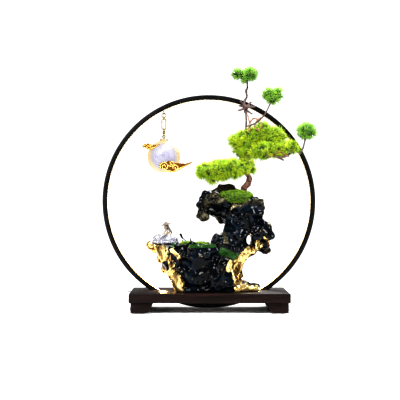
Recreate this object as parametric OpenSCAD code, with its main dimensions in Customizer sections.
// Tabletop water fountain: a light ring standing in a wooden stand, a cast rock
// with a pump and a pool, a miniature pine, a hanging moon lamp and a small figure.
// Millimetres, +Z up, +Y to the back. The origin is on the table, under the middle of the stand.

/* [Light ring] */
// Outside diameter of the ring
ring_od = 350; // [300:1:420]
// Height of the ring's section, along the radius
ring_h = 8; // [7:0.5:11]
// Width of the ring's section, front to back
ring_w = 10; // [9:0.5:13]
// Wall of the ring's channel
ring_wall = 1.2; // [0.8:0.1:1.6]
// Place of the ring behind the middle of the stand
ring_y = 18; // [14:1:24]
// Gap between the ring and the table
ring_lift = 2; // [1:0.5:4]

/* [Stand] */
// Width of the board
board_w = 255; // [225:1:310]
// Depth of the board
board_d = 130; // [124:1:160]
// Thickness of the board
board_t = 15; // [12.5:0.5:18]
// Height of the wooden feet
foot_h = 15.5; // [14:0.5:19]
// Length of a foot where it meets the board
foot_top = 36; // [30:1:44]
// Length of a foot at its bottom
foot_tip = 28; // [23:1:34]
// Thickness of the rubber pads
pad_t = 1.5; // [1:0.25:2]

/* [Rock] */
// Height of the pool's rim above the board
rim_h = 76; // [70:1:92]
// Thickness of the deck plate
deck_t = 3; // [2:0.5:4]
// Radius of the through hole in the tower
eye_r = 4; // [3:0.5:5]

/* [Pump] */
// Length of the pump's motor block
pump_l = 28; // [24:1:34]
// Width of the pump
pump_w = 28; // [25:1:34]
// Height of the pump
pump_h = 26; // [23:0.5:32]
// Outside radius of the hose
hose_r = 4; // [3.3:0.1:4.8]
// Wall of the hose
hose_wall = 1; // [0.8:0.1:1.2]

/* [Moon lamp] */
// Radius of the globe
globe_r = 28; // [23:0.5:34]
// Wall of the globe
globe_wall = 1.5; // [1.2:0.1:2]
// Drop from the ring to the middle of the globe
lamp_drop = 77; // [70:1:93]
// Radius of a chain link at the middle of its wire
link_r = 3.3; // [3:0.1:4]
// Radius of the chain's wire
link_wire = 0.8; // [0.6:0.1:0.9]

/* [Pine] */
// Radius of the trunk at its foot
trunk_r = 5.5; // [4.6:0.1:6.6]
// Radius of the wired branches
branch_r = 1.3; // [1.1:0.1:1.6]

/* [Figure] */
// Height of the seated figure
figure_h = 38; // [32:1:46]

/* [Hidden] */
$fn = 48;
gap = 0.2;            // clearance round pieces that are set in place
snug = 0.05;          // clearance round pieces that are glued or pushed in
run = 0.05;           // radial clearance of a turning fit
BLOB = 18;            // facets round a rock blob
LEAF = 22;            // facets round a foliage blob

// Levels
board_z = pad_t + foot_h;
top_z = board_z + board_t;
rim_z = top_z + rim_h;
deck_z = rim_z - 2;                 // top of the deck plate
floor_z = top_z + 14;               // pool floor
room_z = deck_z - deck_t - 5;       // ceiling of the pump's room

// Ring
ring_r = ring_od / 2;
ring_in = ring_r - ring_h;
ring_z = ring_lift + ring_r;
front_y = ring_y - ring_w / 2;      // front face of the ring

// Feet
foot_in = 3;                        // how far a foot sits in from the board's edge
foot_d = board_d - 2 * foot_in;
screw_r = 1.75;
screw_head = 3.4;
foot_x = board_w / 2 - foot_in - foot_tip / 2;
foot_screw_y = foot_d / 2 - 30;
pad_r = 8;
pad_y = foot_d / 2 - 10;

// Ring saddle under the board
saddle_l = 44;
saddle_cheek = 3;
saddle_flange = 3;
saddle_screw_x = saddle_l / 2 - 6;
bolt_x = 7;
bolt_r = 1.2;
bolt_z = ring_lift + ring_wall + 1.2 + 1.9;      // between the light strip and the diffuser

// Driver pocket in the underside of the board
pocket_l = 92;
pocket_y0 = ring_y + ring_w / 2 + saddle_cheek + 6;
pocket_wall = 6;
pocket_y1 = board_d / 2 - pocket_wall;
pocket_h = 9;
plate_t = 2;
inlet_x = 26;
inlet_w = 12;
plate_screw_x = pocket_l / 2 - 5;

// Light switch on the left end of the board
switch_y = 40;
switch_z = top_z - 5.5;
switch_r = 3;
lever_r = 0.9;
lever_l = 7;
lever_hole = 2;
lever_throw = 12;                   // degrees each way from the middle
lead_r = 1;
lead_z = board_z + pocket_h - 2;

// Pool, its mouth left of the tower
pool_x0 = -49;
pool_x1 = 1;
pool_y0 = -30;
pool_y1 = 29;
pool_lip = 4;                       // width of the ledge that the deck plate rests on
room_x0 = -53;
room_x1 = 15;
room_y0 = -23;

// Pump, in the pool under the deck plate
cup_h = 3;
pump_y = 0;
pump_z = floor_z + cup_h;           // underside of the pump
pump_x1 = -5;                       // cable end of the motor block
pump_x0 = pump_x1 - pump_l;         // where the front cover sits
cover_t = 8;                        // depth of the pump's front cover
pump_mid = pump_z + pump_h / 2 - 1; // rotor axis
rotor_r = 6;
rotor_l = 14;
well_r = 7;                         // rotor well in the motor block
shaft_r = 1;
slots = [-7, -5, -3];               // intake slots, below the shaft
barb_r = hose_r - hose_wall - 0.1;
barb_top = pump_z + pump_h + 4;
cable_r = 1.5;

// Hose
hose_bend = 10;
hose_x0 = pump_x0 - cover_t / 2;
hose_run_z = barb_top + 1 + hose_bend;
riser_x = 46;
spout_z = rim_z + 50;
spout_x = 30;
bore_r = hose_r + 0.7;

// Standpipe that carries the pump's cable through the pool floor
pipe_x = 8;
pipe_y = pocket_y0 + 3.2;
pipe_r = 4;
pipe_hole = 2.2;
pipe_top = deck_z - deck_t - 16;

// Tree
tree_x = 56;
tree_y = -12;
bowl_z = rim_z + 76;                // bottom of the tower's bowl
moss_t = 5;
tuft_r = 16;

// Figure, on the rim left of the pool
figure_x = -71;
figure_y = -4;

// Moon lamp
lamp_x = -0.424 * ring_r;
hook_z = ring_z + sqrt(ring_in * ring_in - lamp_x * lamp_x);
lamp_z = hook_z - lamp_drop;
eye_ring = 2.6;
cap_h = 3;
cap_r = 7;
link_pitch = 2 * link_r - 2 * link_wire - 0.3;
slack = 0.3;                        // play between linked wires
swing_z = hook_z - 1.2 - 2 * eye_ring;           // the eye's lowest wire
tilt_z = swing_z - link_pitch - 0.3;             // the hanger link's lowest wire
hanger_r = (swing_z - tilt_z + 2 * link_wire + slack) / 2;
link_rise = link_wire + slack / 2;  // how far a link's middle is above the middle of its pitch
swivel_z = lamp_z + globe_r + cap_h + 0.4;       // foot of the swivel's eye
swivel_ring = 2.2;
chain_l = tilt_z - (swivel_z + 2 * swivel_ring - link_wire - slack);
chain_n = max(2, floor(chain_l / link_pitch + 0.5));
chain_step = chain_l / chain_n;
chain_r = (chain_step + 2 * link_wire + slack) / 2;
cloud_t = 5;
cloud_reach = 1.68 * globe_r;       // from the lamp's axis to the tip of the lower cloud
cloud_y = -(globe_r + 1);           // front face of the lower cloud
pod_r = 9;
pod_z = -sqrt(globe_r * globe_r - pod_r * pod_r);
cell_r = 5.8;
leaf_gap = 5;                       // room between the cloud's tip and the leaves
leaf_x0 = lamp_x + cloud_reach + leaf_gap;

// ---------- helpers ----------

// A chain of hulls through balls given as [x, y, z, r]
module limb(balls, facets = BLOB) {
    for (i = [0 : len(balls) - 2])
        hull() {
            ball(balls[i], facets);
            ball(balls[i + 1], facets);
        }
}

module ball(b, facets = BLOB) {
    translate([b[0], b[1], b[2]]) sphere(r = b[3], $fn = facets);
}

// One hull round balls given as [x, y, z, r]
module lump(balls, facets = BLOB) {
    hull() for (b = balls) ball(b, facets);
}

// Everything turned so that a shape made round Z lies round the ring's axis
module in_ring() {
    translate([0, ring_y, ring_z]) rotate([90, 0, 0]) children();
}

// A ring of rectangular section round the ring's axis
module hoop(r0, r1, w) {
    in_ring() rotate_extrude($fn = 180) translate([r0, -w / 2]) square([r1 - r0, w]);
}

// A torus in the plane named by its normal
module wire_loop(r, wire, normal) {
    rotate(normal == "x" ? [0, 90, 0] : [90, 0, 0])
        rotate_extrude($fn = 48) translate([r, 0]) circle(r = wire, $fn = 24);
}

// A wood screw with its head's face at z = 0, pointing up
module screw_up(l, r = screw_r, head = screw_head) {
    cylinder(h = 2, r = head);
    translate([0, 0, 2]) cylinder(h = l - 2, r = r);
}

// The hole for such a screw
module screw_hole(l, r = screw_r, head = screw_head) {
    translate([0, 0, -0.01]) cylinder(h = 2 + gap, r = head + gap);
    cylinder(h = l + gap, r = r + gap / 2);
}

// Outline of the pool's mouth, drawn in by d
module pool_outline(d = 0) {
    r = 14;
    hull() for (x = [pool_x0 + r, pool_x1 - r], y = [pool_y0 + r, pool_y1 - r])
        translate([x, y]) circle(r = r - d, $fn = 40);
}

// Outline of the tower's bowl, drawn in by d
module bowl_outline(d = 0) {
    hull() {
        translate([20, -10]) circle(r = 19 - d, $fn = 40);
        translate([54, tree_y]) circle(r = 16 - d, $fn = 40);
    }
}

// Tube along X or Z, and its quarter bends
module tube(r, hole, l) {
    linear_extrude(l) difference() {
        circle(r = r);
        circle(r = hole);
    }
}

module bend(r, hole, radius) {
    rotate_extrude(angle = 90) translate([radius, 0]) difference() {
        circle(r = r);
        circle(r = hole);
    }
}

// The whole line of the hose, from the pump's barb to the spout, as a solid or as a tube
module hose_line(r, hole, start_z) {
    translate([hose_x0, pump_y, start_z]) tube(r, hole, hose_run_z - hose_bend - start_z);
    translate([hose_x0 + hose_bend, pump_y, hose_run_z - hose_bend])
        rotate([90, 0, 180]) bend(r, hole, hose_bend);
    translate([hose_x0 + hose_bend, pump_y, hose_run_z])
        rotate([0, 90, 0]) tube(r, hole, riser_x - hose_x0 - 2 * hose_bend);
    translate([riser_x - hose_bend, pump_y, hose_run_z + hose_bend])
        rotate([90, 90, 180]) mirror([0, 1, 0]) bend(r, hole, hose_bend);
    translate([riser_x, pump_y, hose_run_z + hose_bend])
        tube(r, hole, spout_z - hose_run_z - 2 * hose_bend);
    translate([riser_x - hose_bend, pump_y, spout_z - hose_bend])
        rotate([90, 0, 0]) bend(r, hole, hose_bend);
    translate([spout_x, pump_y, spout_z]) rotate([0, 90, 0]) tube(r, hole, riser_x - hose_bend - spout_x);
}

// ---------- stand ----------

module board() {
    color("#2a1a16") difference() {
        translate([-board_w / 2, -board_d / 2, board_z]) cube([board_w, board_d, board_t]);
        hoop(ring_in - gap, ring_r + gap, ring_w + 2 * gap);
        // pocket for the driver, its cover and the power inlet
        translate([-pocket_l / 2, pocket_y0, board_z - 1])
            cube([pocket_l, pocket_y1 - pocket_y0, pocket_h + 1]);
        translate([inlet_x - inlet_w / 2 - gap, pocket_y1 - 1, board_z - 1])
            cube([inlet_w + 2 * gap, pocket_wall + 2, pocket_h + 1]);
        // cable hole up into the rock, groove for the ring's lead, hole for the switch's lead
        translate([pipe_x, pipe_y, board_z]) cylinder(h = board_t + 1, r = pipe_hole);
        translate([-lead_r - gap, ring_y, board_z - 1])
            cube([2 * (lead_r + gap), pocket_y0 - ring_y + 1, 2 * lead_r + 3.8]);
        translate([-board_w / 2 + 8, switch_y, lead_z]) rotate([0, 90, 0])
            cylinder(h = board_w / 2 - 8 - pocket_l / 2 + 1, r = lead_r + gap);
        for (x = [-1, 1]) {
            for (y = [-1, 1])
                translate([x * foot_x, y * foot_screw_y, board_z - 1])
                    cylinder(h = 9 + gap, r = screw_r + gap / 2);
            for (y = rock_screw_ys)
                translate([x * rock_screw_x, y, board_z]) screw_hole(board_t + 8);
            translate([x * saddle_screw_x, ring_y, board_z - 1])
                cylinder(h = 9 + gap, r = screw_r + gap / 2);
            translate([x * plate_screw_x, (pocket_y0 + pocket_y1) / 2, board_z + pocket_h - 1])
                cylinder(h = 4 + gap, r = 1.2 + gap / 2);
        }
        translate([-board_w / 2 - 1, switch_y, switch_z]) rotate([0, 90, 0])
            cylinder(h = 11 + gap, r = switch_r + snug);
    }
}

// Left foot: a block whose inner face slopes in to a rounded toe
module foot(side) {
    toe = 3;
    x0 = board_w / 2 - foot_in;
    color("#24140f") difference() {
        translate([0, foot_d / 2, 0]) rotate([90, 0, 0]) linear_extrude(foot_d)
            scale([side, 1]) polygon([
                [x0, pad_t], [x0, board_z], [x0 - foot_top, board_z],
                [x0 - foot_tip - toe * 0.6, pad_t + toe],
                [x0 - foot_tip - toe * 0.1, pad_t + toe * 0.35],
                [x0 - foot_tip + toe * 0.6, pad_t]]);
        for (y = [-1, 1])
            translate([side * foot_x, y * foot_screw_y, pad_t]) {
                translate([0, 0, -1]) cylinder(h = 8 + gap, r = screw_head + gap);
                cylinder(h = foot_h + 1, r = screw_r + gap / 2);
            }
    }
}

module foot_left() { foot(-1); }
module foot_right() { foot(1); }

module foot_screws() {
    color("#8a8a8a") for (x = [-1, 1], y = [-1, 1])
        translate([x * foot_x, y * foot_screw_y, pad_t + 5]) screw_up(foot_h + 3 - gap);
}

module foot_pads() {
    color("#111111") for (x = [-1, 1], y = [-1, 1])
        translate([x * foot_x, y * pad_y, 0]) cylinder(h = pad_t, r = pad_r);
}

// ---------- light ring ----------

module ring_channel() {
    color("#141412") difference() {
        hoop(ring_in, ring_r, ring_w);
        hoop(ring_in - 1, ring_r - ring_wall, ring_w - 2 * ring_wall);
        translate([lamp_x, ring_y, hook_z - 1]) cylinder(h = ring_h * 3, r = 0.9 + snug);
        bolt_holes();
    }
}

// The two cross bolts that pin the ring in its saddle
module bolt_holes() {
    for (x = [-1, 1]) translate([x * bolt_x, ring_y, bolt_z]) rotate([90, 0, 0])
        cylinder(h = 60, r = bolt_r + snug, center = true);
}

module light_strip() {
    color("#f2e6c0") difference() {
        hoop(ring_r - ring_wall - 1.2, ring_r - ring_wall, ring_w - 2 * ring_wall - 2 * gap);
        translate([lamp_x, ring_y, hook_z - 1]) cylinder(h = ring_h * 3, r = 1.5);
    }
}

module ring_diffuser() {
    color("#fff2d0") difference() {
        hoop(ring_in, ring_in + 1.5, ring_w - 2 * ring_wall - 2 * snug);
        translate([lamp_x, ring_y, hook_z - 2]) cylinder(h = ring_h * 3, r = 1.5);
        translate([0, ring_y, 0]) cylinder(h = board_z, r = lead_r + gap);
    }
}

// Block under the board whose two cheeks hold the lowest part of the ring
module ring_saddle() {
    w = ring_w + 2 * snug;
    color("#1c1c1c") difference() {
        union() {
            translate([-saddle_l / 2 + 11, ring_y - w / 2 - saddle_cheek, ring_lift + 2])
                cube([saddle_l - 22, w + 2 * saddle_cheek, board_z - ring_lift - 2]);
            translate([-saddle_l / 2, ring_y - w / 2 - saddle_cheek, board_z - saddle_flange])
                cube([saddle_l, w + 2 * saddle_cheek, saddle_flange]);
        }
        hoop(ring_in - snug, ring_r + 20, w);
        bolt_holes();
        for (x = [-1, 1]) translate([x * saddle_screw_x, ring_y, board_z - saddle_flange - 1])
            cylinder(h = saddle_flange + 2, r = screw_r + snug);
        translate([0, ring_y, board_z - 12]) cylinder(h = 14, r = lead_r + gap);
        translate([-lead_r - gap, ring_y, board_z - 2 * lead_r - gap])
            cube([2 * (lead_r + gap), 30, 3 * lead_r]);
    }
}

module ring_bolts() {
    l = ring_w + 2 * saddle_cheek + 2 * snug;
    color("#8a8a8a") for (x = [-1, 1]) translate([x * bolt_x, ring_y - l / 2, bolt_z]) rotate([-90, 0, 0]) {
        translate([0, 0, -2]) cylinder(h = 2, r = 2.4);
        cylinder(h = l + 3, r = bolt_r);
        translate([0, 0, l]) cylinder(h = 2, r = 2.6);
    }
}

module saddle_screws() {
    color("#8a8a8a") for (x = [-1, 1])
        translate([x * saddle_screw_x, ring_y, board_z - saddle_flange - 2]) screw_up(12);
}

// ---------- electrics in the stand ----------

module driver_board() {
    y0 = pocket_y0 + 3;
    z0 = board_z + plate_t + 1;
    color("#1f6b3a") {
        translate([-36, y0, z0]) cube([inlet_x + inlet_w / 2 + 36, pocket_y1 - gap - y0, 1.2]);
        translate([-32, y0 + 3, z0 + 1.2]) cube([12, 10, 4]);
        for (x = [-14, -4]) translate([x, y0 + 8, z0 + 1.2]) cylinder(h = 4, r = 3);
        translate([6, y0 + 5, z0 + 1.2]) cube([6, 12, 2.5]);
    }
}

module driver_cover() {
    y0 = pocket_y0 + gap;
    y1 = pocket_y1 - gap;
    mid = (pocket_y0 + pocket_y1) / 2;
    color("#191512") difference() {
        union() {
            translate([-pocket_l / 2 + gap, y0, board_z]) cube([pocket_l - 2 * gap, y1 - y0, plate_t]);
            for (x = [-33, 15], y = [pocket_y0 + 6, pocket_y1 - 3])
                translate([x, y, board_z + plate_t]) cylinder(h = 1, r = 1.5);
            for (x = [-1, 1]) translate([x * plate_screw_x, mid, board_z + plate_t])
                cylinder(h = pocket_h - plate_t, r = 3);
        }
        for (x = [-1, 1]) translate([x * plate_screw_x, mid, board_z - 1]) {
            cylinder(h = pocket_h + 2, r = 1.2 + gap);
            cylinder(h = 2.2, r = 2.4 + gap);
        }
    }
}

module cover_screws() {
    mid = (pocket_y0 + pocket_y1) / 2;
    color("#8a8a8a") for (x = [-1, 1]) translate([x * plate_screw_x, mid, board_z]) {
        cylinder(h = 1.2, r = 2.4);
        translate([0, 0, 1.2]) cylinder(h = pocket_h + 1, r = 1.2);
    }
}

// Flat power socket that fills the notch in the back edge
module power_inlet() {
    color("#9a9a9a") difference() {
        translate([inlet_x - inlet_w / 2, pocket_y1 - gap, board_z])
            cube([inlet_w, pocket_wall + gap, pocket_h - gap]);
        for (x = [-1, 1]) translate([inlet_x + x * 2.9, pocket_y1 + 2, board_z + pocket_h / 2])
            rotate([-90, 0, 0]) cylinder(h = pocket_wall, r = 1.6);
        translate([inlet_x - 2.9, pocket_y1 + 2, board_z + pocket_h / 2 - 1.6])
            cube([5.8, pocket_wall, 3.2]);
    }
}

module switch_bush() {
    color("#b8b8b8") translate([-board_w / 2, switch_y, switch_z]) rotate([0, 90, 0]) difference() {
        translate([0, 0, -1.5]) cylinder(h = 11, r = switch_r);
        translate([0, 0, -2]) cylinder(h = 7, r = lever_hole);
    }
}

// Bat lever: it rests tilted to the back and throws to the front
module switch_lever() {
    color("#202020") translate([-board_w / 2 + 1, switch_y, switch_z]) rotate([0, 0, -lever_throw]) {
        sphere(r = lever_hole - run);
        rotate([0, -90, 0]) cylinder(h = lever_l + 1, r = lever_r);
        translate([-lever_l - 1, 0, 0]) sphere(r = lever_r + 0.2);
    }
}

// Lead from the switch through the board to the driver's pocket
module switch_lead() {
    color("#161616") translate([-board_w / 2 + 9.5, switch_y, lead_z]) rotate([0, 90, 0])
        cylinder(h = board_w / 2 - 9.5 - pocket_l / 2 + 8, r = lead_r);
}

// Lead from the light strip through the saddle and the board's groove to the driver
strip_path = [[0, ring_y, ring_lift + ring_wall + 1.3], [0, ring_y, board_z - 3],
    [0, ring_y + 0.8, board_z - 0.4], [0, ring_y + 3, board_z + 1.6], [0, ring_y + 7, board_z + 2.8],
    [0, pocket_y0 - 1, board_z + 3.3], [0, pocket_y0 + 2.6, board_z + 3.6]];

module strip_lead() {
    color("#161616") sweep(strip_path, lead_r, 8);
}

// ---------- rock ----------

rock_screw_x = 36;
rock_screw_ys = [-28, pocket_y0 - 8];
back_y = pipe_y - 3.2;              // middle of the lumps along the back

// Level in the basin: share 0 is the board and share 1 the rim
function basin_z(share) = top_z + share * rim_h;

module basin_blobs() {
    b = back_y;
    // the body, narrow at the board and wide at the rim
    lump([[-44, -30, top_z + 8, 13], [-44, b, top_z + 8, 12], [32, -32, top_z + 8, 12],
        [32, b, top_z + 8, 12], [-74, -20, rim_z - 8, 12], [-72, 14, rim_z - 8, 14],
        [-34, -32, rim_z - 8, 12], [-34, b - 2, rim_z - 8, 14], [46, -26, rim_z - 8, 14],
        [42, b - 6, rim_z - 8, 14]]);
    // the tip of the rim on the left
    lump([[-74, -12, rim_z - 6, 12], [-76, 6, rim_z - 6, 11], [-93, -8, rim_z - 3, 4.5]]);
    // the toe on the right
    lump([[36, -26, top_z + 8, 16], [38, 8, top_z + 8, 16], [64, -20, top_z + 5, 10], [62, 2, top_z + 2, 10]]);
    // the leg that climbs to the right
    limb([[40, -14, basin_z(0.4), 17], [54, -13, basin_z(0.66), 14], [71, -11, rim_z - 8, 10]]);
    // lumps over the front
    limb([[-40, -24, basin_z(0.7), 20], [-4, -26, basin_z(0.8), 20]]);
    limb([[26, -26, basin_z(0.86), 20], [8, -26, basin_z(0.4), 21]]);
    limb([[-28, -22, basin_z(0.3), 22], [-6, -24, basin_z(0.22), 20]]);
    limb([[-62, -14, basin_z(0.62), 17], [-52, -10, basin_z(0.35), 16]]);
    // and the back
    limb([[-50, b - 12, basin_z(0.7), 20], [-10, b - 8, basin_z(0.55), 21]]);
    limb([[20, b - 8, basin_z(0.3), 18], [38, b - 12, basin_z(0.7), 18]]);
}

module rock_basin() {
    color("#11141a") render() difference() {
        union() {
            difference() {
                basin_blobs();
                // the mouth of the pool, its neck and the pump's room
                translate([0, 0, deck_z - deck_t]) linear_extrude(20) pool_outline();
                translate([0, 0, room_z - 1]) linear_extrude(20) pool_outline(pool_lip);
                translate([room_x0, room_y0, floor_z])
                    cube([room_x1 - room_x0, pipe_y - room_y0, room_z - floor_z]);
            }
            translate([pipe_x, pipe_y, floor_z - 2]) cylinder(h = pipe_top - floor_z + 2, r = pipe_r, $fn = 28);
        }
        // flat foot and flat rim
        translate([-150, -150, top_z - 100]) cube([300, 300, 100]);
        translate([-150, -150, rim_z]) cube([300, 300, 100]);
        // hose, cable and screw holes
        hose_line(bore_r, 0, hose_run_z - hose_bend - 1, $fn = 20);
        translate([pipe_x, pipe_y, top_z - 1]) cylinder(h = rim_h, r = pipe_hole, $fn = 20);
        for (x = [-1, 1], y = rock_screw_ys) translate([x * rock_screw_x, y, top_z - 1])
            cylinder(h = 9 + gap, r = screw_r + gap / 2, $fn = 20);
    }
}

module tower_blobs() {
    // foot and neck
    lump([[17, -16, rim_z + 4, 13], [17, 12, rim_z + 4, 13], [80, -12, rim_z + 8, 13], [78, 10, rim_z + 8, 12]]);
    lump([[38, -16, rim_z + 10, 18], [38, 12, rim_z + 10, 16], [46, -14, rim_z + 50, 18], [46, 10, rim_z + 50, 16],
        [66, -8, rim_z + 34, 14]]);
    // right lobe and the claw that hangs from it
    limb([[70, -10, rim_z + 12, 13], [87, -8, rim_z + 18, 15]]);
    limb([[92, -8, rim_z + 8, 9], [89, -8, rim_z - 12, 5.5]]);
    limb([[64, -8, rim_z + 32, 13], [86, -6, rim_z + 26, 11]]);
    // head
    lump([[30, -18, rim_z + 66, 13], [28, 14, rim_z + 66, 15], [70, -14, rim_z + 64, 14], [68, 8, rim_z + 64, 15],
        [46, -14, rim_z + 50, 17]]);
    limb([[68, -12, rim_z + 54, 15], [80, -8, rim_z + 52, 12]]);
    // ledge on the left, with its drooping lip
    limb([[26, -12, rim_z + 69, 15], [-2, -9, rim_z + 68, 12], [-9, -9, rim_z + 58, 9], [-10, -9, rim_z + 47, 7]]);
    // ridge behind the bowl
    limb([[6, 12, rim_z + 76, 11], [20, 15, rim_z + 87, 11], [36, 15, rim_z + 85, 11], [60, 12, rim_z + 72, 13]]);
}

module rock_tower() {
    color("#11141a") render() difference() {
        tower_blobs();
        // seat on the basin, cut so that only the claw hangs below the rim
        translate([-60, -60, rim_z - 100]) cube([60 + 82, 120, 100]);
        // bowl for the moss, open to the front and the right
        translate([0, 0, bowl_z]) linear_extrude(40) bowl_outline();
        translate([-30, -60, bowl_z + moss_t]) cube([130, 60 + 4, 60]);
        // eye through the tower
        translate([64.5, 0, rim_z + 7]) hull() for (z = [-1, 1])
            translate([0, 0, z * eye_r * 0.85]) rotate([90, 0, 0]) cylinder(h = 120, r = eye_r, center = true, $fn = 28);
        // hose and its spout
        hose_line(bore_r, 0, hose_run_z - hose_bend - 1, $fn = 20);
        translate([spout_x - 30, pump_y, spout_z]) rotate([0, 90, 0])
            cylinder(h = 36, r = bore_r + 1.5, $fn = 24);
        // root plug
        translate([tree_x, tree_y, bowl_z - 12]) cylinder(h = 30, r = trunk_r + 2 + gap, $fn = 28);
    }
}

module rock_screws() {
    color("#8a8a8a") for (x = [-1, 1], y = rock_screw_ys)
        translate([x * rock_screw_x, y, board_z]) screw_up(board_t + 7);
}

// Plate over the pool, with drain slots and a finger hole
module deck_plate() {
    color("#16181c") translate([0, 0, deck_z - deck_t]) linear_extrude(deck_t) difference() {
        pool_outline(0.5);
        for (x = [-40 : 8 : -16]) translate([x, 18]) square([3, 12], center = true);
        translate([-6, 18]) circle(r = 5, $fn = 32);
    }
}

module deck_moss() {
    color("#5c8a1e") difference() {
        translate([0, 0, deck_z]) {
            linear_extrude(3) hull() {
                translate([-38, -15]) circle(r = 9, $fn = 32);
                translate([-12, -17]) circle(r = 10, $fn = 32);
                translate([-10, -4]) circle(r = 8, $fn = 32);
            }
            translate([-37, -15, 3]) cylinder(h = 2, r = 7);
            translate([-14, -14, 3]) cylinder(h = 1.5, r = 7);
        }
        rod_line(0.7 + snug);
    }
}

module bowl_moss() {
    color("#4f8a14") difference() {
        union() {
            translate([0, 0, bowl_z]) linear_extrude(moss_t) bowl_outline(0.8);
            translate([0, 0, bowl_z + moss_t]) linear_extrude(2.5) bowl_outline(5);
        }
        translate([tree_x, tree_y, bowl_z - 1]) cylinder(h = 20, r = trunk_r + 2 + gap);
    }
}

// ---------- figure ----------

module seated_figure() {
    s = figure_h / 38;
    color("#f4f2ee") translate([figure_x, figure_y, rim_z]) scale(s) render() difference() {
        union() {
            // robe spread over folded legs, its trailing hem, the back and the shoulders
            lump([[-15, -6, 3, 4], [14, -6, 3, 4], [-12, 7, 3, 5], [12, 7, 3, 5], [-6, 0, 9, 6], [6, 1, 12, 7]]);
            lump([[-3, 0, 9, 7], [5, 1, 12, 7], [3, 0, 19, 5.5]]);
            limb([[8, 3, 8, 6], [17, 4, 3, 4]]);
            limb([[2, -6, 17, 3], [-7, -7, 10, 3.2], [-12, -3, 8, 2.8]]);
            limb([[4, 6, 17, 3], [-4, 7, 10, 3.2], [-12, 1, 8, 2.8]]);
            // neck, head and hair
            limb([[2.5, 0, 21, 3], [0.5, 0, 27, 4.4]]);
            limb([[3, 0, 27.5, 4], [9, 0, 18, 3]]);
            // wide hat, tipped forward
            translate([1.4, 0, 31]) rotate([0, -14, 0]) cylinder(h = 6, r1 = 10.5, r2 = 0.8, $fn = 32);
        }
        translate([-60, -60, -20]) cube([120, 120, 20]);
    }
}

// Thin rod that stands in the deck's moss and leans towards the figure
rod_top = [-54, -14, deck_z + 18];
rod_foot = [-33, -14, deck_z + 0.9];

module rod_line(r) {
    d = rod_foot - rod_top;
    translate(rod_top) rotate([0, acos(d[2] / norm(d)), atan2(d[1], d[0])]) cylinder(h = norm(d), r = r);
}

module leaning_rod() {
    color("#f4f2ee") rod_line(0.7);
}

// ---------- pump ----------

module pump_motor() {
    color("#1d1f22") difference() {
        translate([pump_x0, pump_y - pump_w / 2, pump_z]) cube([pump_l, pump_w, pump_h]);
        translate([pump_x0 - 1, pump_y, pump_mid]) rotate([0, 90, 0]) cylinder(h = rotor_l + 3, r = well_r);
        translate([pump_x0, pump_y, pump_mid]) rotate([0, 90, 0])
            cylinder(h = rotor_l + 6, r = shaft_r + snug / 2);
    }
}

// Front cover with the volute, the intake slots, the slider's rails and the outlet barb
module pump_front() {
    x0 = pump_x0 - cover_t;
    color("#26292d") difference() {
        union() {
            translate([x0, pump_y - pump_w / 2, pump_z]) cube([cover_t, pump_w, pump_h]);
            translate([hose_x0, pump_y, pump_z + pump_h]) cylinder(h = 4, r = barb_r);
            // rails with lips that hold the slider
            for (y = [-1, 1]) {
                translate([x0 - 2.6, pump_y + y * 8.5 - 0.75, pump_mid - 9.6]) cube([2.6, 1.5, 19]);
                translate([x0 - 2.6, pump_y + y * 7.9 - 1.35, pump_mid - 9.6]) cube([1.2, 2.7, 19]);
            }
        }
        // impeller chamber, seat of the shaft, intake slots and the way up the barb
        translate([x0 + 2, pump_y, pump_mid]) rotate([0, 90, 0]) cylinder(h = cover_t, r = well_r + 2);
        translate([x0 + 0.8, pump_y, pump_mid]) rotate([0, 90, 0]) cylinder(h = 3, r = shaft_r + snug / 2);
        for (z = slots) translate([x0 - 1, pump_y - 5, pump_mid + z - 0.6]) cube([4, 10, 1.2]);
        translate([hose_x0, pump_y, pump_mid]) cylinder(h = pump_h, r = barb_r - 1);
    }
}

module pump_shaft() {
    color("#e8e4da") translate([pump_x0 - cover_t + 1, pump_y, pump_mid]) rotate([0, 90, 0])
        cylinder(h = cover_t + rotor_l + 4, r = shaft_r);
}

module pump_impeller() {
    x0 = pump_x0 - cover_t + 2.8;
    color("#3a3f45") difference() {
        union() {
            translate([pump_x0 - 1, pump_y, pump_mid]) rotate([0, 90, 0]) cylinder(h = rotor_l, r = rotor_r);
            translate([x0, pump_y, pump_mid]) rotate([0, 90, 0]) cylinder(h = cover_t - 3.8, r = 2.6);
            for (a = [0 : 60 : 300]) translate([x0, pump_y, pump_mid]) rotate([a, 0, 0])
                translate([0, -0.5, 2]) cube([cover_t - 3.6, 1, 5]);
        }
        translate([x0 - 1, pump_y, pump_mid]) rotate([0, 90, 0])
            cylinder(h = cover_t + rotor_l, r = shaft_r + run);
    }
}

// Plate between the rails that covers more or less of the intake
module flow_slider() {
    x0 = pump_x0 - cover_t;
    color("#c8c8c8") {
        translate([x0 - 1.3, pump_y - 7.65, pump_mid + 1]) cube([1.25, 15.3, 7]);
        translate([x0 - 3.4, pump_y - 1.5, pump_mid + 3.5]) cube([2.1, 3, 2]);
    }
}

module suction_cups() {
    color("#2b2b2b") for (x = [pump_x0 + 4, pump_x1 - 4], y = [-1, 1])
        translate([x, pump_y + y * (pump_w / 2 - 5), floor_z]) cylinder(h = cup_h, r1 = 4, r2 = 1.6);
}

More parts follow.
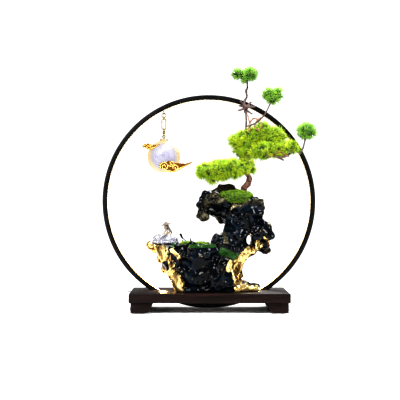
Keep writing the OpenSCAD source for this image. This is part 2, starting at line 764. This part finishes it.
// The pump's cable: up from the motor block, over the standpipe and down into the stand
cable_path = [
    [pump_x1 + 0.05, pump_y + 6, pump_z + 8], [pump_x1 + 2.5, pump_y + 6, pump_z + 8],
    [pump_x1 + 5, pump_y + 7, pump_z + 9], [pump_x1 + 6, pump_y + 9, pump_z + 13],
    [pump_x1 + 6, pump_y + 13, pump_z + 20], [pump_x1 + 7, pump_y + 17, pipe_top - 8],
    [pipe_x - 4, pipe_y - 12, pipe_top + 1], [pipe_x - 2.2, pipe_y - 6, pipe_top + 5],
    [pipe_x - 0.6, pipe_y - 2.2, pipe_top + 4], [pipe_x, pipe_y, pipe_top],
    [pipe_x, pipe_y, floor_z + 20], [pipe_x, pipe_y, top_z], [pipe_x, pipe_y, board_z + plate_t + 2.25]];

module pump_cable() {
    color("#161616") sweep(cable_path, cable_r, 10);
}

// A tube of given sides swept through points
module sweep(path, r, sides) {
    n = len(path);
    tangents = [for (i = [0 : n - 1]) unit(path[min(i + 1, n - 1)] - path[max(i - 1, 0)])];
    rings = [for (i = [0 : n - 1]) let (t = tangents[i],
            u = unit(cross(t, abs(t[1]) < 0.9 ? [0, 1, 0] : [1, 0, 0])), v = cross(t, u))
        for (k = [0 : sides - 1]) path[i] + r * (cos(360 * k / sides) * u + sin(360 * k / sides) * v)];
    walls = [for (i = [0 : n - 2], k = [0 : sides - 1]) let (a = i * sides + k, b = i * sides + (k + 1) % sides)
        [a, a + sides, b + sides, b]];
    polyhedron(rings, concat([[for (k = [0 : sides - 1]) k]], walls,
        [[for (k = [sides - 1 : -1 : 0]) (n - 1) * sides + k]]), convexity = 4);
}

function unit(v) = v / norm(v);

module water_hose() {
    color("#cfd8dc") hose_line(hose_r, hose_r - hose_wall, pump_z + pump_h + gap);
}

module spout_nozzle() {
    color("#3b3f44") translate([spout_x - 9, pump_y, spout_z]) rotate([0, 90, 0]) difference() {
        union() {
            cylinder(h = 8.8, r = hose_r + 0.8);
            cylinder(h = 14, r = hose_r - hose_wall - 0.05);
        }
        translate([0, 0, -1]) cylinder(h = 20, r = hose_r - hose_wall - 1);
    }
}

// ---------- moon lamp ----------

module hook_eye() {
    color("#d8a23a") {
        translate([lamp_x, ring_y, hook_z - 1.2]) cylinder(h = ring_h - 2.5, r = 0.9);
        translate([lamp_x, ring_y, hook_z - 1.2 - eye_ring]) wire_loop(eye_ring, link_wire, "x");
    }
}

module hanger_link() {
    color("#d8a23a") translate([lamp_x, ring_y, (swing_z + tilt_z) / 2 + link_rise]) wire_loop(hanger_r, link_wire, "y");
}

module chain_links() {
    color("#d8a23a") for (i = [0 : chain_n - 1])
        translate([lamp_x, ring_y, tilt_z - (i + 0.5) * chain_step + link_rise])
            wire_loop(chain_r, link_wire, i % 2 == 0 ? "x" : "y");
}

// Eye with a pin that turns in the lamp's cap
module swivel_eye() {
    color("#d8a23a") {
        translate([lamp_x, ring_y, swivel_z + swivel_ring + link_wire])
            wire_loop(swivel_ring, link_wire, chain_n % 2 == 0 ? "x" : "y");
        translate([lamp_x, ring_y, lamp_z + globe_r - 1.1]) {
            cylinder(h = 1, r = 2);
            cylinder(h = cap_h + 2.3, r = 1);
        }
    }
}

module at_lamp() {
    translate([lamp_x, ring_y, lamp_z]) children();
}

module lamp_cap() {
    color("#d8a23a") at_lamp() difference() {
        intersection() {
            translate([0, 0, globe_r - 2]) cylinder(h = cap_h + 2, r = cap_r);
            sphere(r = globe_r + cap_h);
        }
        sphere(r = globe_r + gap / 4);
        translate([0, 0, globe_r - 5]) cylinder(h = 20, r = 1 + run);
    }
}

module moon_globe() {
    color("#fff6e0") at_lamp() difference() {
        sphere(r = globe_r, $fn = 96);
        sphere(r = globe_r - globe_wall, $fn = 96);
        translate([0, 0, globe_r - 6]) cylinder(h = 10, r = 2.6);
        translate([0, 0, -globe_r - 1]) cylinder(h = 8, r = pod_r + gap);
    }
}

// Light pod that plugs into the bottom of the globe
module light_pod() {
    color("#f0ece0") at_lamp() translate([0, 0, pod_z]) difference() {
        cylinder(h = 8, r = pod_r);
        translate([0, 0, 1.5]) cylinder(h = 8, r = cell_r + snug);
    }
}

module coin_cells() {
    color("#c9c9c4") at_lamp() translate([0, 0, pod_z + 1.5]) for (i = [0, 1]) {
        translate([0, 0, i * 2.7]) cylinder(h = 2.2, r = cell_r);
        translate([0, 0, i * 2.7 + 2.2]) cylinder(h = 0.5, r = cell_r - 1);
    }
}

module pod_light() {
    color("#ffd98a") at_lamp() translate([0, 0, pod_z + 8]) {
        cylinder(h = 1.6, r = pod_r - 1);
        translate([0, 0, 1.6]) cylinder(h = 3, r = 2.5);
        translate([0, 0, 4.6]) sphere(r = 2.5);
    }
}

// Cloud outline: scrolls at one end and a long curved tail at the other
module cloud_outline(l) {
    circle(r = 0.16 * l);
    translate([-0.17 * l, 0.02 * l]) circle(r = 0.12 * l);
    translate([0.16 * l, -0.05 * l]) circle(r = 0.17 * l);
    translate([0.02 * l, 0.1 * l]) circle(r = 0.1 * l);
    polygon([[0.05 * l, 0.14 * l], [0.3 * l, 0.11 * l], [0.5 * l, 0.09 * l], [0.7 * l, 0.17 * l],
        [0.52 * l, 0], [0.34 * l, -0.06 * l], [0.25 * l, -0.2 * l], [0.1 * l, -0.2 * l]]);
}

module cloud(l, x, z, y) {
    color("#d9982b") at_lamp() difference() {
        union() {
            translate([x, y + cloud_t, z]) rotate([90, 0, 0]) linear_extrude(cloud_t) cloud_outline(l);
            translate([x + 0.05 * l, 0, z]) rotate([90, 0, 0]) cylinder(h = -y - cloud_t + 0.5, r = 0.1 * l);
        }
        sphere(r = globe_r + snug, $fn = 96);
    }
}

module upper_cloud() {
    l = 1.07 * globe_r;
    cloud(l, -globe_r * 0.93, globe_r * 0.62, -globe_r * 0.7);
}

module lower_cloud() {
    l = 1.96 * globe_r;
    cloud(l, cloud_reach - 0.7 * l, -globe_r * 0.54, cloud_y);
}

// ---------- pine ----------

trunk_z = bowl_z - 8;
fork_low = [tree_x + 7, tree_y, rim_z + 112];
fork_mid = [tree_x - 4, tree_y, rim_z + 140];
fork_top = [tree_x + 2, tree_y, rim_z + 172];

module trunk() {
    color("#7a3b28") trunk_shape();
}

module trunk_shape(extra = 0) {
    stem = [[tree_x, tree_y, trunk_z + 2, trunk_r], [tree_x, tree_y, bowl_z + 12, trunk_r * 0.9],
        [tree_x + 8, tree_y, rim_z + 100, trunk_r * 0.82],
        [fork_low[0], fork_low[1], fork_low[2], trunk_r * 0.75],
        [tree_x - 6, tree_y, rim_z + 124, trunk_r * 0.65],
        [fork_mid[0], fork_mid[1], fork_mid[2], trunk_r * 0.55],
        [tree_x - 1, tree_y, rim_z + 158, trunk_r * 0.4],
        [fork_top[0], fork_top[1], fork_top[2], trunk_r * 0.34]];
    limb([for (b = stem) [b[0], b[1], b[2], b[3] + extra]], 14);
}

module root_plug() {
    color("#5a4632") difference() {
        translate([tree_x, tree_y, bowl_z - 12]) cylinder(h = 16, r = trunk_r + 2);
        translate([tree_x, tree_y, trunk_z - 20]) cylinder(h = 60, r = trunk_r + gap);
    }
}

// Tufts that stand clear of the pads, as [x, y, z, size]
tufts = [
    [61, tree_y, rim_z + 272, 1], [104, tree_y, rim_z + 240, 0.86],
    [ring_r - tuft_r, tree_y - 2, rim_z + 186, 1]];

module branch(points, extra = 0) {
    limb([for (p = points) [p[0], p[1], p[2], p[3] * branch_r + extra]], 10);
}

module branches() {
    color("#6e3a22") render() difference() {
        branch_shapes();
        trunk_shape();
    }
}

module branch_shapes(extra = 0) {
    // up from the top of the trunk to the highest tuft
    branch([[fork_top[0], fork_top[1], fork_top[2] - 2, 1.2], [60, tree_y - 2, rim_z + 200, 1.1],
        [57, tree_y, rim_z + 230, 1.1], [61, tree_y, tufts[0][2] - tuft_r * 0.5, 1.1]], extra);
    // over and out to the second tuft
    branch([[60, tree_y - 2, rim_z + 190, 1.1], [76, tree_y - 4, rim_z + 196, 1.1],
        [90, tree_y - 3, rim_z + 210, 1], [tufts[1][0] - 2, tree_y, tufts[1][2] - tuft_r * 0.5, 1]], extra);
    // under the middle pad to the far tuft
    branch([[fork_mid[0], fork_mid[1], fork_mid[2], 2], [88, tree_y - 4, rim_z + 130, 1.6],
        [122, tree_y - 6, rim_z + 134, 1.3], [144, tree_y - 4, rim_z + 148, 1.1],
        [tufts[2][0] - 2, tufts[2][1], tufts[2][2] - tuft_r * 0.5, 1]], extra);
    // into the low pad
    branch([[tree_x - 4, tree_y, rim_z + 122, 2], [20, tree_y - 2, rim_z + 118, 1.6],
        [0, tree_y - 4, rim_z + 120, 1.2]], extra);
    // bare crossed twigs under the highest tuft
    for (t = [[-11, 2, 8, 16], [-8, -4, 12, 2], [12, 3, -9, 13], [14, -5, -4, -2]])
        branch([[60 + t[0], tree_y + t[1], rim_z + 214 + t[2], 0.9],
            [60 - t[0] * 0.7, tree_y - t[1], rim_z + 214 + t[3], 0.8]], extra);
}

module leaf_pad_low() {
    color("#a8d418") render() difference() {
        lump([[leaf_x0 + 13, tree_y - 8, rim_z + 117, 12], [10, tree_y - 6, rim_z + 110, 9],
            [10, tree_y + 4, rim_z + 120, 12], [40, tree_y - 8, rim_z + 124, 13],
            [58, tree_y + 2, rim_z + 126, 12], [66, tree_y, rim_z + 120, 8]], LEAF);
        wood_cut();
    }
}

module middle_lump(extra = 0) {
    lump([for (b = [[48, tree_y, rim_z + 149, 9], [90, tree_y - 6, rim_z + 150, 14],
        [120, tree_y, rim_z + 154, 13], [134, tree_y - 4, rim_z + 156, 12], [84, tree_y + 4, rim_z + 160, 14]])
        [b[0], b[1], b[2], b[3] + extra]], LEAF);
}

module leaf_pad_middle() {
    color("#b6dc1c") render() difference() {
        middle_lump();
        lump([[leaf_x0 + 13, tree_y - 8, rim_z + 117, 12.4], [40, tree_y - 8, rim_z + 124, 13.4],
            [58, tree_y + 2, rim_z + 126, 12.4], [66, tree_y, rim_z + 120, 8.4]], LEAF);
        wood_cut();
    }
}

module leaf_pad_high() {
    color("#c8e020") render() difference() {
        lump([[42, tree_y, rim_z + 166, 11], [70, tree_y, rim_z + 178, 11], [90, tree_y - 2, rim_z + 184, 10],
            [120, tree_y, rim_z + 172, 6], [90, tree_y, rim_z + 178, 12]], LEAF);
        middle_lump(0.4);
        wood_cut();
    }
}

// Room for the wood inside the leaves
module wood_cut() {
    trunk_shape(0.4);
    branch_shapes(0.4);
}

module leaf_tufts() {
    color("#5fae2c") render() difference() {
        for (t = tufts) {
            r = tuft_r * t[3];
            difference() {
                ball([t[0], t[1], t[2], r], 32);
                translate([t[0], t[1], t[2] - r - 1]) cylinder(h = r * 0.4, r = 30);
            }
        }
        branch_shapes(0.4);
    }
}

// ---------- output ----------

board();
foot_left();
foot_right();
foot_screws();
foot_pads();
ring_channel();
light_strip();
ring_diffuser();
ring_saddle();
saddle_screws();
ring_bolts();
strip_lead();
driver_board();
driver_cover();
cover_screws();
power_inlet();
switch_bush();
switch_lever();
switch_lead();
rock_basin();
rock_tower();
rock_screws();
deck_plate();
deck_moss();
bowl_moss();
seated_figure();
leaning_rod();
pump_motor();
pump_front();
pump_shaft();
pump_impeller();
flow_slider();
suction_cups();
pump_cable();
water_hose();
spout_nozzle();
hook_eye();
hanger_link();
chain_links();
swivel_eye();
lamp_cap();
moon_globe();
light_pod();
coin_cells();
pod_light();
upper_cloud();
lower_cloud();
trunk();
branches();
root_plug();
leaf_pad_low();
leaf_pad_middle();
leaf_pad_high();
leaf_tufts();
